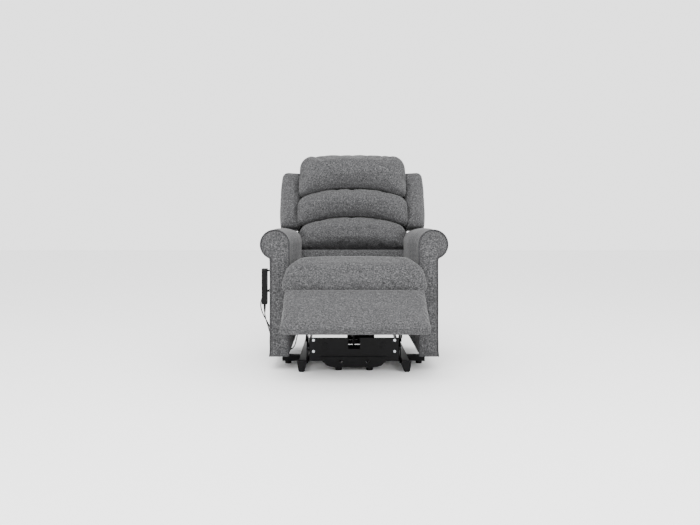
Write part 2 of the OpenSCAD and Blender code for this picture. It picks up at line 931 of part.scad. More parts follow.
module back_brackets() {
  color("#2b2c2e") back_place() both() across(crank_x, plate_t) difference() {
    union() {
      circle(17);
      polygon([[-10, 13], [board_back, 30], [board_back, 170], [32, 170], [36, 20], [13, -10]]);
    }
    hole([0, 0], 6 + pin_fit);
  }
}

// Torque tube between the brackets, with the arm that the motor pushes.
module back_tube() {
  color("#2b2c2e") {
    pin(-crank_x, 2 * crank_x, back_pivot, 12);
    both() pin(crank_x - 1, 2 * step - 1, back_pivot, 6);
    across(-70 - eye_t / 2, eye_t) difference() {
      union() {
        bar(back_pivot, back_eye, 11);
        translate(back_eye) circle(back_eye_r + 6);
      }
      hole(back_eye, back_eye_r);
    }
  }
}

// ---------------------------------------------------------------- drawing

placed() base_rail_left();
placed() base_rail_right();
placed() base_front_tube();
placed() base_rear_tube();
placed() base_bow();
placed() base_cover();
placed() cover_bolts();
placed() floor_feet();
placed() rail_boots();
placed() base_pins();
placed() lift_links();
placed() lift_tube();
placed() guide_links();
placed() lift_motor();
placed() lift_rod();
placed() frame_plates();
placed() front_cross_tube();
placed() rear_cross_tube();
placed() mechanism_plates();
placed() frame_pins();
placed() seat_front_rail();
placed() seat_rear_rail();
placed() seat_side_rails();
placed() seat_webbing();
placed() seat_bolts();
placed() seat_cushion();
placed() arm_left();
placed() arm_right();
placed() facing_left();
placed() facing_right();
placed() arm_boards();
placed() rear_valance();
placed() control_box();
placed() handset_holder();
placed() handset();
placed() button_lift_up();
placed() button_lift_down();
placed() button_recline();
placed() button_upright();
placed() handset_cord();
placed() strain_relief();
placed() cord_clips();
placed() footrest_pad();
placed() footrest_board();
placed() footrest_brackets();
placed() footrest_cranks();
placed() crank_tube();
placed() push_bars();
placed() footrest_motor();
placed() footrest_rod();
placed() back_board();
placed() back_shell();
placed() wing_left();
placed() wing_right();
placed() head_roll();
placed() middle_roll();
placed() lumbar_roll();
placed() back_brackets();
placed() back_tube();
placed() back_motor();
placed() back_rod();
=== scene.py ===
# %% [markdown]
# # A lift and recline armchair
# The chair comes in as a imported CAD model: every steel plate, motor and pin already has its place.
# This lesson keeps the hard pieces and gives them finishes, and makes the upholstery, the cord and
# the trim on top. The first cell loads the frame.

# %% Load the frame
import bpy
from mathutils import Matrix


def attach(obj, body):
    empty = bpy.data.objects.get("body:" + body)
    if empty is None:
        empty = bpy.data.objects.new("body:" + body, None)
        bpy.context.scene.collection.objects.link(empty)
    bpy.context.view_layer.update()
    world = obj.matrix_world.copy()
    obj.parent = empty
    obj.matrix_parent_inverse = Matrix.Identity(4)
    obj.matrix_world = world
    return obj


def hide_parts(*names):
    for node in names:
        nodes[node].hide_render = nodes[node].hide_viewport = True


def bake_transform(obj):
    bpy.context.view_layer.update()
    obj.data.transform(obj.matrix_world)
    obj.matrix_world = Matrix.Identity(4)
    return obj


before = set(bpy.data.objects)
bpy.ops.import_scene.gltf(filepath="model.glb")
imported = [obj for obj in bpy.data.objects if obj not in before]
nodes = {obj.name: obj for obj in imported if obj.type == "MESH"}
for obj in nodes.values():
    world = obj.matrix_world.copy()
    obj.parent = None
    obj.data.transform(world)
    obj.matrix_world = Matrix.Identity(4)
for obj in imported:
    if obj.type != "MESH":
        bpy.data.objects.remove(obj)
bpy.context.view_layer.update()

import math

import bmesh
import bpy
from mathutils import Matrix, Vector, noise

# %% [markdown]
# The camera stands level in front of the chair, 50 mm to one side of its middle and just above
# the height of the arm tops. A shift lens keeps the uprights parallel while the chair sits below
# the middle of the view.

# %% Camera
CAMERA_PLACE = (-0.050, -3.205, 0.672)
camera_data = bpy.data.cameras.new("camera")
camera_data.lens = 34.5
camera_data.sensor_width = 36.0
camera_data.shift_x = 0.0101
camera_data.shift_y = -0.0599
camera = bpy.data.objects.new("camera", camera_data)
camera.location = CAMERA_PLACE
camera.rotation_euler = (math.radians(90), 0, 0)
bpy.context.collection.objects.link(camera)
bpy.context.scene.camera = camera
print("camera stands at", CAMERA_PLACE)

# %% [markdown]
# Two helpers serve every finish. Colours are picked as sRGB hex values, as a paint chart gives
# them, and shaders want linear light, so one function turns them. The other adds a node with its
# settings and links in one line, which keeps each recipe short enough to read.

# %% Colour and node helpers
def colour(code):
    """An sRGB hex value as the linear colour a shader wants."""
    parts = [int(code[i:i + 2], 16) / 255 for i in (1, 3, 5)]
    return [p / 12.92 if p <= 0.04045 else ((p + 0.055) / 1.055) ** 2.4 for p in parts] + [1.0]


def add(tree, kind, inputs=None, **settings):
    """Adds a node; an input is a number, a colour or another node's output."""
    made = tree.nodes.new(kind)
    for key, value in settings.items():
        setattr(made, key, value)
    for key, value in (inputs or {}).items():
        if isinstance(value, bpy.types.NodeSocket):
            tree.links.new(value, made.inputs[key])
        else:
            made.inputs[key].default_value = value
    return made


def new_finish(name, **surface):
    """A material with one shader, whose plain values are set on its own sockets."""
    finish = bpy.data.materials.new(name)
    finish.use_nodes = True
    tree = finish.node_tree
    tree.nodes.clear()
    shader = add(tree, "ShaderNodeBsdfPrincipled", {k.replace("_", " "): v for k, v in surface.items()})
    add(tree, "ShaderNodeOutputMaterial", {"Surface": shader.outputs["BSDF"]})
    return finish, tree, shader


def per_metre(millimetres):
    """The scale of a pattern that repeats every so many millimetres."""
    return 1000.0 / millimetres


def wave_scale(millimetres):
    """The scale of a wave texture, which has twenty waves to a unit of its scale."""
    return per_metre(millimetres) / 20


def ramp(tree, factor, *stops):
    """A colour ramp from (place, colour) stops."""
    made = add(tree, "ShaderNodeValToRGB", {"Fac": factor})
    bar = made.color_ramp.elements
    while len(bar) < len(stops):
        bar.new(0.5)
    for element, (place, code) in zip(bar, stops):
        element.position = place
        element.color = colour(code)
    return made.outputs["Color"]


def roughen(tree, shader, height, depth_mm, strength=1.0):
    """A height pattern becomes bumps of a real depth."""
    bump = add(tree, "ShaderNodeBump", {"Height": height, "Distance": depth_mm / 1000, "Strength": strength})
    tree.links.new(bump.outputs["Normal"], shader.inputs["Normal"])


print("linear mid grey:", round(colour("#808080")[0], 3))

# %% [markdown]
# The cover is a **wool and polyester tweed**: thick slub yarns of several greys, woven flat. Real
# yarns are about 2 mm; here the slubs are drawn 3 mm wide and 7 mm long so that they still read from
# three metres. Two stretched noises are the warp and the weft, and their flecks are dark and pale. The
# weave itself is a lattice of sine waves, which looks woven on a surface facing any way.

# %% Tweed
def tweed(name, dark, mid, pale, slub_mm=2.8):
    finish, tree, shader = new_finish(name, Roughness=0.92, Sheen_Weight=0.10, Sheen_Roughness=0.45,
                                      Specular_IOR_Level=0.25)
    place = add(tree, "ShaderNodeTexCoord").outputs["Object"]
    slubs = []
    for stretch in ((1, 1, 0.38), (0.38, 1, 1)):
        turned = add(tree, "ShaderNodeMapping", {"Vector": place, "Scale": stretch})
        slub = add(tree, "ShaderNodeTexNoise", {"Vector": turned.outputs["Vector"],
                   "Scale": per_metre(slub_mm), "Detail": 3.0, "Roughness": 0.65})
        slubs.append(slub.outputs["Fac"])
    both = add(tree, "ShaderNodeMath", {0: slubs[0], 1: slubs[1]}, operation="ADD").outputs[0]
    half = add(tree, "ShaderNodeMath", {0: both, 1: 0.5}, operation="MULTIPLY").outputs[0]
    yarn = ramp(tree, half, (0.36, dark), (0.5, mid), (0.64, pale))
    cloud = add(tree, "ShaderNodeTexNoise", {"Vector": place, "Scale": per_metre(90), "Detail": 2.0})
    worn = add(tree, "ShaderNodeMapRange", {"Value": cloud.outputs["Fac"], "To Min": 0.93, "To Max": 1.07})
    shade = add(tree, "ShaderNodeMix", {"Factor": 1.0, 6: yarn, 7: worn.outputs["Result"]},
                data_type="RGBA", blend_type="MULTIPLY")
    tree.links.new(shade.outputs[2], shader.inputs["Base Color"])
    waves = []
    for axis in "XYZ":
        wave = add(tree, "ShaderNodeTexWave", {"Vector": place, "Scale": wave_scale(4.0),
                   "Distortion": 0.8, "Detail": 1.0, "Detail Scale": 2.0}, bands_direction=axis)
        waves.append(wave.outputs["Fac"])
    weave = add(tree, "ShaderNodeMath", {0: waves[0], 1: waves[1]}, operation="ADD").outputs[0]
    weave = add(tree, "ShaderNodeMath", {0: weave, 1: waves[2]}, operation="ADD").outputs[0]
    height = add(tree, "ShaderNodeMath", {0: weave, 1: half, 2: 0.0}, operation="ADD").outputs[0]
    roughen(tree, shader, height, 0.7, 0.9)
    return finish


COVER = tweed("grey_tweed_woven", "#1c1c1d", "#353536", "#636364")
# The piping and welts are the cover's tweed painted darker: painted shade along the edges and seams.
PIPING_PAINTED_SHADE = tweed("tweed_piping_painted_shade", "#171718", "#28282a", "#424243", slub_mm=2.4)
print("made", COVER.name, "and", PIPING_PAINTED_SHADE.name)

# %% [markdown]
# The steelwork is **powder-coated mild steel**: black paint powder melted on in an oven, which
# leaves a satin skin with faint orange peel about 1.5 mm across. The pins and bolts are **zinc
# plated**, a metal with a dull, slightly cloudy shine.

# %% Steel finishes
def powder_coat():
    finish, tree, shader = new_finish("black_powder_coated_steel", Roughness=0.45, Specular_IOR_Level=0.12)
    place = add(tree, "ShaderNodeTexCoord").outputs["Object"]
    peel = add(tree, "ShaderNodeTexNoise", {"Vector": place, "Scale": per_metre(1.5), "Detail": 1.0})
    dust = add(tree, "ShaderNodeTexNoise", {"Vector": place, "Scale": per_metre(45), "Detail": 4.0})
    tree.links.new(ramp(tree, dust.outputs["Fac"], (0.35, "#030303"), (0.7, "#08080a")),
                   shader.inputs["Base Color"])
    roughen(tree, shader, peel.outputs["Fac"], 0.05)
    return finish


def zinc_plate():
    finish, tree, shader = new_finish("zinc_plated_steel", Metallic=1.0, Roughness=0.32)
    place = add(tree, "ShaderNodeTexCoord").outputs["Object"]
    cloud = add(tree, "ShaderNodeTexNoise", {"Vector": place, "Scale": per_metre(12), "Detail": 4.0})
    tree.links.new(ramp(tree, cloud.outputs["Fac"], (0.3, "#8f9296"), (0.7, "#c9ccd0")),
                   shader.inputs["Base Color"])
    rough = add(tree, "ShaderNodeMapRange", {"Value": cloud.outputs["Fac"], "To Min": 0.25, "To Max": 0.45})
    tree.links.new(rough.outputs["Result"], shader.inputs["Roughness"])
    return finish


STEEL = powder_coat()
ZINC = zinc_plate()
print("made", STEEL.name, "and", ZINC.name)

# %% [markdown]
# The plastics are all black and differ in their skin. **ABS** is moulded in a tool etched with a
# fine spark-eroded grain, **glass-filled nylon** is duller and slightly mottled, and the cord's
# **PVC** is smooth with a soft gloss. One recipe with three grains covers them.

# %% Plastic finishes
def moulded(name, low, high, rough, grain_mm, depth_mm):
    finish, tree, shader = new_finish(name, Roughness=rough, Specular_IOR_Level=0.14)
    place = add(tree, "ShaderNodeTexCoord").outputs["Object"]
    mottle = add(tree, "ShaderNodeTexNoise", {"Vector": place, "Scale": per_metre(18), "Detail": 3.0})
    grain = add(tree, "ShaderNodeTexNoise", {"Vector": place, "Scale": per_metre(grain_mm), "Detail": 2.0})
    tree.links.new(ramp(tree, mottle.outputs["Fac"], (0.35, low), (0.7, high)), shader.inputs["Base Color"])
    roughen(tree, shader, grain.outputs["Fac"], depth_mm)
    return finish


ABS = moulded("black_abs_moulded", "#050506", "#0a0a0b", 0.42, 0.6, 0.04)
NYLON = moulded("black_nylon_moulded", "#040405", "#09090a", 0.6, 0.9, 0.08)
PVC = moulded("black_pvc_extruded", "#040405", "#080809", 0.55, 2.5, 0.02)
KEYCAP = moulded("grey_abs_keycap", "#b9bbbe", "#cfd1d3", 0.35, 0.6, 0.03)
print("made", ABS.name, NYLON.name, PVC.name, KEYCAP.name)

# %% [markdown]
# The seat frame is **beech**, planed and left bare: fine straight grain with short darker flecks.
# The straps over it are **polypropylene webbing**, woven with ribs about 3 mm apart.

# %% Wood and webbing
def beech():
    finish, tree, shader = new_finish("beech_planed", Roughness=0.55, Specular_IOR_Level=0.35)
    place = add(tree, "ShaderNodeTexCoord").outputs["Object"]
    long_grain = add(tree, "ShaderNodeMapping", {"Vector": place, "Scale": (0.08, 1, 1)})
    grain = add(tree, "ShaderNodeTexNoise", {"Vector": long_grain.outputs["Vector"],
                "Scale": per_metre(9), "Detail": 6.0, "Roughness": 0.6})
    fleck = add(tree, "ShaderNodeTexNoise", {"Vector": long_grain.outputs["Vector"],
                "Scale": per_metre(1.6), "Detail": 1.0})
    tone = ramp(tree, grain.outputs["Fac"], (0.3, "#a9805a"), (0.55, "#c79f74"), (0.8, "#d8b68e"))
    marks = ramp(tree, fleck.outputs["Fac"], (0.3, "#c2a080"), (0.5, "#ffffff"))
    mixed = add(tree, "ShaderNodeMix", {"Factor": 0.5, 6: tone, 7: marks}, data_type="RGBA",
                blend_type="MULTIPLY")
    tree.links.new(mixed.outputs[2], shader.inputs["Base Color"])
    roughen(tree, shader, grain.outputs["Fac"], 0.15)
    return finish


def webbing():
    finish, tree, shader = new_finish("black_polypropylene_webbing", Roughness=0.6, Sheen_Weight=0.15)
    place = add(tree, "ShaderNodeTexCoord").outputs["Object"]
    rib = add(tree, "ShaderNodeTexWave", {"Vector": place, "Scale": wave_scale(3.0)}, bands_direction="X")
    pick = add(tree, "ShaderNodeTexWave", {"Vector": place, "Scale": wave_scale(2.0)}, bands_direction="Y")
    weave = add(tree, "ShaderNodeMath", {0: rib.outputs["Fac"], 1: pick.outputs["Fac"]}, operation="ADD")
    tree.links.new(ramp(tree, weave.outputs[0], (0.2, "#101011"), (0.9, "#303033")),
                   shader.inputs["Base Color"])
    roughen(tree, shader, weave.outputs[0], 0.4)
    return finish


BEECH = beech()
WEBBING = webbing()
print("made", BEECH.name, "and", WEBBING.name)

# %% [markdown]
# The cord is made first of the pieces, because its route fixes where the rest can go. It is a
# plain **PVC lead**, 5 mm thick, that hangs from the handset, goes over the holder's
# lower peg, and runs under the arm to the control box. A curve with a round bevel makes the lead;
# the points are the CAD route in millimetres.

# %% Handset cord
CORD_D, CORD_LENGTH = 0.005, 1.25
CORD_ROUTE = [
    (-423, -5, 246), (-423, -5, 226), (-419, -5, 205), (-411, -2, 180), (-403, 6, 150),
    (-399, 20, 124), (-398, 38, 112), (-400, 56, 122), (-405, 63, 146), (-413, 67, 170),
    (-430, 67, 196), (-445, 61, 230), (-451, 53, 261), (-445, 45, 296), (-430, 38, 318),
    (-412, 30, 335), (-398, 16, 346), (-393, 0, 350), (-391, -14, 346), (-390, -22, 330),
    (-389, -24, 300), (-389, -24, 260), (-389, -24, 215), (-389, -24, 175), (-389, -20, 130),
    (-390, -14, 90), (-387, -8, 58), (-374, -2, 51), (-352, 4, 50), (-330, 10, 50), (-304, 20, 51),
    (-286, 34, 60), (-279, 54, 80), (-275, 86, 106), (-268, 130, 132), (-262, 178, 156),
    (-256, 224, 178), (-248, 268, 200), (-240, 302, 218), (-230, 324, 230), (-220, 334, 234),
    (-206, 335, 234),
]


def tube(name, points, radius, finish, body, order=4):
    """A round tube along a smooth line through the points, in metres."""
    line = bpy.data.curves.new(name, "CURVE")
    line.dimensions = "3D"
    line.bevel_depth = radius
    line.bevel_resolution = 3
    line.resolution_u = 6
    line.use_fill_caps = True
    run = line.splines.new("NURBS" if order > 2 else "POLY")
    run.points.add(len(points) - 1)
    for target, point in zip(run.points, points):
        target.co = (*point, 1.0)
    if order > 2:
        run.order_u = order
        run.use_endpoint_u = True
    made = bpy.data.objects.new(name, line)
    bpy.context.collection.objects.link(made)
    line.materials.append(finish)
    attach(made, body)
    return made


route = [Vector(p) / 1000 for p in CORD_ROUTE]
cord = tube("handset_lead", route, CORD_D / 2, PVC, "chair")
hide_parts("handset_cord")
straight_run = sum((b - a).length for a, b in zip(route, route[1:]))
print("cord points:", len(route), "straight run:", round(straight_run, 3))

# %% [markdown]
# The CAD pieces whose shape is right stay as they are and only get their finish. A CAD node has
# one material slot, so one loop over the groups is enough. The front and side rails of the seat
# show under its nose, so they are wrapped in the cover.

# %% Finishes for the hard pieces
HARD = {
    STEEL: ("base_rail_left", "base_rail_right", "base_front_tube", "base_rear_tube", "base_bow",
            "base_cover", "lift_links", "lift_tube", "guide_links", "frame_plates",
            "front_cross_tube", "rear_cross_tube", "mechanism_plates", "footrest_brackets",
            "footrest_cranks", "crank_tube", "push_bars", "back_brackets", "back_tube"),
    ZINC: ("base_pins", "frame_pins", "seat_bolts", "cover_bolts", "lift_rod", "footrest_rod",
           "back_rod"),
    NYLON: ("lift_motor", "footrest_motor", "back_motor", "control_box", "cord_clips",
            "rail_boots", "floor_feet", "handset_holder"),
    ABS: ("handset",),
    KEYCAP: ("button_lift_up", "button_lift_down", "button_recline", "button_upright"),
    PVC: ("strain_relief",),
    BEECH: ("seat_rear_rail", "arm_boards"),
    COVER: ("seat_front_rail", "seat_side_rails"),
    WEBBING: ("seat_webbing",),
}
for finish, names in HARD.items():
    for name in names:
        mesh = nodes[name].data
        mesh.materials.clear()
        mesh.materials.append(finish)
print("finished", sum(len(names) for names in HARD.values()), "hard pieces")

# %% [markdown]
# Two access holes in the cover plate of the base are closed with moulded plugs. A plug is a
# shallow dome on a flange, spun from three short edges.

# %% Plugs in the cover plate
PLATE_FRONT, HOLE_Z = -0.197, 0.112
for label, x in (("left", -0.130), ("right", 0.130)):
    bm = bmesh.new()
    bmesh.ops.create_cone(bm, cap_ends=True, segments=32, radius1=0.0145, radius2=0.0145, depth=0.002)
    rim = [e for e in bm.edges if all(v.co.z > 0 for v in e.verts)]
    bmesh.ops.bevel(bm, geom=rim, offset=0.0014, segments=3, profile=0.5, affect="EDGES", material=-1)
    bmesh.ops.rotate(bm, verts=bm.verts, cent=(0, 0, 0), matrix=Matrix.Rotation(math.radians(90), 3, "X"))
    bmesh.ops.translate(bm, verts=bm.verts, vec=(x, PLATE_FRONT - 0.0011, HOLE_Z))
    mesh = bpy.data.meshes.new(f"plug_{label}")
    bm.to_mesh(mesh)
    bm.free()
    mesh.materials.append(NYLON)
    plug = bpy.data.objects.new(f"plug_{label}", mesh)
    bpy.context.collection.objects.link(plug)
    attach(plug, "base")
print("plugs stand at z", HOLE_Z)

# %% [markdown]
# Two places on the chair have their own slant: the back leans 16 degrees from its hinge, and the
# footrest stands 55 degrees out from hanging. Soft pieces for them are shaped upright in a
# local frame, where along, across and through are plain axes, and then turned into place.

# %% Local frames of the back and the footrest
BACK = Matrix.Translation((0, 0.295, 0.400)) @ Matrix.Rotation(math.radians(-16), 4, "X")
FOOT = Matrix.Translation((0, -0.323, 0.362)) @ Matrix.Rotation(math.radians(-55), 4, "X")
print("the top of the back is at", [round(v, 3) for v in BACK @ Vector((0, -0.1, 0.62))])

# %% [markdown]
# Upholstery pieces share a few steps. A shape becomes an object, gets an even skin of small
# quads by a voxel remesh, and is baked to plain mesh. The even skin is what lets cloth fold the
# same way everywhere.

# %% Mesh helpers
def smoothstep(low, high, value):
    t = min(max((value - low) / (high - low), 0.0), 1.0)
    return t * t * (3 - 2 * t)


def to_object(name, bm, finish=None):
    """A bmesh becomes an object at the origin, with its doubles merged and its faces outwards."""
    bmesh.ops.remove_doubles(bm, verts=bm.verts, dist=1e-6)
    bmesh.ops.recalc_face_normals(bm, faces=bm.faces)
    mesh = bpy.data.meshes.new(name)
    bm.to_mesh(mesh)
    bm.free()
    made = bpy.data.objects.new(name, mesh)
    bpy.context.collection.objects.link(made)
    if finish:
        mesh.materials.append(finish)
    return made


def apply_all(obj):
    """Bakes an object's modifiers into its mesh."""
    bpy.context.view_layer.update()
    shaped = bpy.data.meshes.new_from_object(obj.evaluated_get(bpy.context.evaluated_depsgraph_get()))
    obj.modifiers.clear()
    obj.data = shaped
    return obj


def skin(obj, voxel_mm):
    """An even skin of quads."""
    remesh = obj.modifiers.new("skin", "REMESH")
    remesh.mode = "VOXEL"
    remesh.voxel_size = voxel_mm / 1000
    return apply_all(obj)


def reshape(obj, rule):
    """Moves every vertex by a rule from place to place."""
    for vertex in obj.data.vertices:
        vertex.co = rule(vertex.co)
    obj.data.update()
    return obj


def ease(obj, times, factor=0.5):
    """Relaxes a mesh a little, which rounds what the remesh left stepped."""
    bm = bmesh.new()
    bm.from_mesh(obj.data)
    for _ in range(times):
        bmesh.ops.smooth_vert(bm, verts=bm.verts, factor=factor, use_axis_x=True, use_axis_y=True,
                              use_axis_z=True)
    bm.to_mesh(obj.data)
    bm.free()
    return obj


def smooth_shade(obj):
    for face in obj.data.polygons:
        face.use_smooth = True
    return obj


def finish_soft(obj, finish, body, levels=1):
    """Smooths, dresses and hangs a soft piece on its body."""
    smooth_shade(obj)
    obj.data.materials.clear()
    obj.data.materials.append(finish)
    if levels:
        rounder = obj.modifiers.new("rounder", "SUBSURF")
        rounder.levels = rounder.render_levels = levels
    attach(obj, body)
    return obj


print("quick try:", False)

# %% [markdown]
# Most padded parts are easiest to draw as one outline, seen from the front, that is pushed back
# to its thickness and gets rounded rims. The others start as a box with some of its edges rounded.

# %% Slabs and boxes
def outline_face(bm, points, y):
    """A flat face in the X-Z plane from an outline of points."""
    ring = [bmesh.ops.create_vert(bm, co=(x, y, z))["vert"][0] for x, z in points]
    edges = [bm.edges.new((a, b)) for a, b in zip(ring, ring[1:] + ring[:1])]
    return bmesh.ops.contextual_create(bm, geom=edges)["faces"]


def slab(name, points, front, back, round_mm):
    """An outline extruded from front to back, with its rims rounded."""
    bm = bmesh.new()
    faces = outline_face(bm, points, front)
    out = bmesh.ops.extrude_face_region(bm, geom=faces)["geom"]
    bmesh.ops.translate(bm, vec=(0, back - front, 0),
                        verts=[g for g in out if isinstance(g, bmesh.types.BMVert)])
    bmesh.ops.recalc_face_normals(bm, faces=bm.faces)
    rims = [e for e in bm.edges if abs(e.verts[0].co.y - e.verts[1].co.y) < 1e-6]
    bmesh.ops.bevel(bm, geom=rims, offset=round_mm / 1000, segments=4, profile=0.5, affect="EDGES",
                    material=-1)
    return to_object(name, bm)


def corner(x, z, radius, start, steps=6):
    """Points round a quarter corner, from an angle in degrees, anticlockwise."""
    turns = [math.radians(start + 90 * k / steps) for k in range(steps + 1)]
    return [(x + radius * math.cos(a), z + radius * math.sin(a)) for a in turns]


def padded_box(name, low, high, rounds):
    """A box with chosen edges rounded: rounds is a list of (test on an edge's middle, radius)."""
    bm = bmesh.new()
    bmesh.ops.create_cube(bm, size=1.0)
    size = Vector(high) - Vector(low)
    bmesh.ops.scale(bm, vec=size, verts=bm.verts)
    bmesh.ops.translate(bm, vec=(Vector(low) + Vector(high)) / 2, verts=bm.verts)
    for wanted, radius in rounds:
        edges = [e for e in bm.edges if wanted((e.verts[0].co + e.verts[1].co) / 2)]
        bmesh.ops.bevel(bm, geom=edges, offset=radius, segments=6, profile=0.5, affect="EDGES",
                        material=-1)
    return to_object(name, bm)


print("a quarter corner has", len(corner(0, 0, 1, 0)), "points")

# %% [markdown]
# Foam under fabric swells between the places where it is sewn or glued down. Blender's Cloth
# with air pressure does just that: the points in the held group stay, the others are blown out,
# and a little spare cloth makes the creases at the seams. No point may travel past a cap, so a
# cushion keeps its size.

# %% Inflate a cushion
def inflate(obj, cap_mm, held, pressure=4.0, spare=0.03, stiffness=12.0, frames=20):
    before = [vertex.co.copy() for vertex in obj.data.vertices]
    group = obj.vertex_groups.new(name="held")
    group.add([i for i, place in enumerate(before) if held(place)], 1.0, "REPLACE")
    cloth = obj.modifiers.new("filling", "CLOTH")
    rules = cloth.settings
    rules.quality = 5
    rules.mass = 0.3
    rules.tension_stiffness = rules.compression_stiffness = stiffness
    rules.shear_stiffness = 4.0
    rules.bending_stiffness = 1.2
    rules.use_pressure = True
    rules.uniform_pressure_force = pressure
    rules.shrink_min = -spare
    rules.effector_weights.gravity = 0
    rules.vertex_group_mass = group.name
    cloth.point_cache.frame_start = 1
    cloth.point_cache.frame_end = frames
    for frame_number in range(1, frames + 1):
        bpy.context.scene.frame_set(frame_number)
    obj.data = bpy.data.meshes.new_from_object(
        obj.evaluated_get(bpy.context.evaluated_depsgraph_get()))
    obj.modifiers.clear()
    obj.vertex_groups.clear()
    bpy.context.scene.frame_set(1)
    cap = cap_mm / 1000
    for vertex, old in zip(obj.data.vertices, before):
        moved = vertex.co - old
        if moved.length > cap:
            vertex.co = old + moved * (cap / moved.length)
    obj.data.update()
    return obj


print("cloth is", "simulated")

# %% [markdown]
# ## The back cushions
# A waterfall back is three padded rolls, one above another. Each starts as a slab with round
# corners, and gets an even skin. It is warped so that its seams
# arch, higher in the middle than at the sides, and blown up while its back and its seams are
# held. Rolls that touch are kept each on its own side of the arched seam, and small folds fan
# out from both ends of a seam, where the sewing gathers the cover.

# %% Back rolls
BACK_HALF = 0.272
ROLL_FRONT, ROLL_BACK, ROLL_SWELL = -0.120, -0.0205, 0.018
SEAM_LOW, SEAM_HIGH, BACK_TOP = 0.287, 0.444, 0.642
SEAM_ARCH = 0.062
FOLDS, FOLD_REACH, FOLD_DEPTH = 13, 0.045, 0.0028
LOW_ROUND, SEAM_GAP = 0.032, 0.0015


def arch(x, z):
    """How far a seam at height z along the back drops at x from the middle."""
    fade = smoothstep(0.105, 0.270, z) * (1 - 0.55 * smoothstep(0.47, 0.62, z))
    return -SEAM_ARCH * fade * (abs(x) / BACK_HALF) ** 2.3


def back_roll(name, node, low, high, half, top_round):
    around = []
    for turn, side in ((0, 1), (90, -1)):
        around += corner(side * (half - top_round), high - SEAM_GAP - top_round, top_round, turn)
    for turn, side in ((180, -1), (270, 1)):
        around += corner(side * (half - LOW_ROUND), low + SEAM_GAP + LOW_ROUND, LOW_ROUND, turn)
    roll = slab(name, around, ROLL_FRONT + ROLL_SWELL, ROLL_BACK, 30)
    skin(roll, 6.5)
    ease(roll, 3)

    def warped(co):
        bulge = 1 + 0.05 * smoothstep(ROLL_BACK, ROLL_FRONT, co.y)
        return Vector((co.x * bulge, co.y, co.z + arch(co.x, co.z)))

    reshape(roll, warped)

    def held(co):
        z = co.z - arch(co.x, co.z)
        return co.y > ROLL_BACK - 0.02 or z < low + 0.006 and low > 0.2 and co.y > -0.07

    inflate(roll, 24, held, spare=0.012, stiffness=18.0)

    def folds(across, flat):
        """Small folds that fan out from where the two seams of this roll end."""
        depth = 0.0
        for seam in (low, high):
            if SEAM_LOW <= seam <= SEAM_HIGH:
                along = flat - seam
                near = math.exp(-(math.hypot(across, along) / FOLD_REACH) ** 2)
                depth += near * math.cos(FOLDS * math.atan2(along, across + 0.004))
        return FOLD_DEPTH * depth

    def kept(co):
        flat = co.z - arch(co.x, co.z)
        spare = 0.03 if high == BACK_TOP else 0.0
        flat = min(max(flat, low + 0.0005), high + spare - 0.0005)
        fold = folds(half - abs(co.x), flat) * smoothstep(ROLL_BACK, ROLL_BACK - 0.04, co.y)
        return Vector((co.x, min(co.y + fold, ROLL_BACK), flat + arch(co.x, co.z)))

    reshape(roll, kept)
    roll.data.transform(BACK)
    finish_soft(roll, COVER, "backrest")
    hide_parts(node)
    return roll


head = back_roll("head_cushion", "head_roll", SEAM_HIGH, BACK_TOP, 0.275, 0.065)
middle = back_roll("middle_cushion", "middle_roll", SEAM_LOW, SEAM_HIGH, 0.279, 0.040)
lumbar = back_roll("lumbar_cushion", "lumbar_roll", 0.103, SEAM_LOW, 0.270, 0.040)
for roll in (head, middle, lumbar):
    print(roll.name, len(roll.data.polygons), "quads")

# %% [markdown]
# Under the lowest roll a narrow strip of cover closes the back down to the seat. It is a low,
# firmly padded band with its front edges rounded.

# %% Back apron
apron = padded_box("back_apron", (-0.268, -0.098, 0.050), (0.268, -0.0205, 0.104),
                   [(lambda m: m.y < -0.09 and abs(m.x) < 0.01, 0.016)])
skin(apron, 5)
ease(apron, 2)
reshape(apron, lambda co: co + Vector((0, 0.0012 * noise.noise(co * 22), 0.0)))
apron.data.transform(BACK)
finish_soft(apron, COVER, "backrest")
print("back apron", len(apron.data.polygons), "quads")

# %% [markdown]
# ## The wings
# Each wing is a thick padded panel beside the head. Its front edge is rounded, its inner face
# leans on the rolls, and a welt runs down its outer side and over its top. It starts as a slab
# with one round corner, and is blown up with its back held.

# %% Wings
WING_INNER, WING_OUTER = 0.277, 0.377
WING_LOW, WING_TOP = 0.233, 0.536


def wing_piece(name, node, side):
    around = [(WING_INNER, WING_LOW), (WING_OUTER, WING_LOW)]
    around += corner(WING_OUTER - 0.030, WING_TOP - 0.030, 0.030, 0) + [(WING_INNER, WING_TOP)]
    wing = slab(name, around, -0.064, 0.050, 17)
    skin(wing, 5)
    ease(wing, 3)

    def leaned(co):
        rise = smoothstep(WING_LOW + 0.1, WING_TOP, co.z)
        outer = smoothstep(WING_INNER, WING_OUTER, co.x)
        return Vector((co.x - 0.004 * rise * outer, co.y + 0.012 * rise * (1 - outer), co.z))

    reshape(wing, leaned)
    inflate(wing, 8, lambda co: co.y > 0.02, pressure=3.0, spare=0.01)
    reshape(wing, lambda co: Vector((co.x * side, min(co.y, 0.0450), co.z)))
    if side < 0:
        wing.data.flip_normals()
    wing.data.transform(BACK)
    finish_soft(wing, COVER, "backrest")
    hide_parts(node)
    edge = [(side * (WING_OUTER + 0.002 - 0.004 * smoothstep(WING_LOW + 0.1, WING_TOP, z)), 0.012, z)
            for z in (WING_LOW + 0.01, 0.30, 0.36, 0.42, 0.47)]
    edge += [(side * (x - 0.005), 0.012, z) for x, z in
             corner(WING_OUTER - 0.028, WING_TOP - 0.027, 0.030, 0)]
    edge = [Vector(p) for p in edge + [(side * (WING_INNER + 0.02), 0.012, WING_TOP + 0.003)]]
    welt = tube(f"{name}_welt", [BACK @ p for p in edge], 0.0028, PIPING_PAINTED_SHADE, "backrest")
    return wing


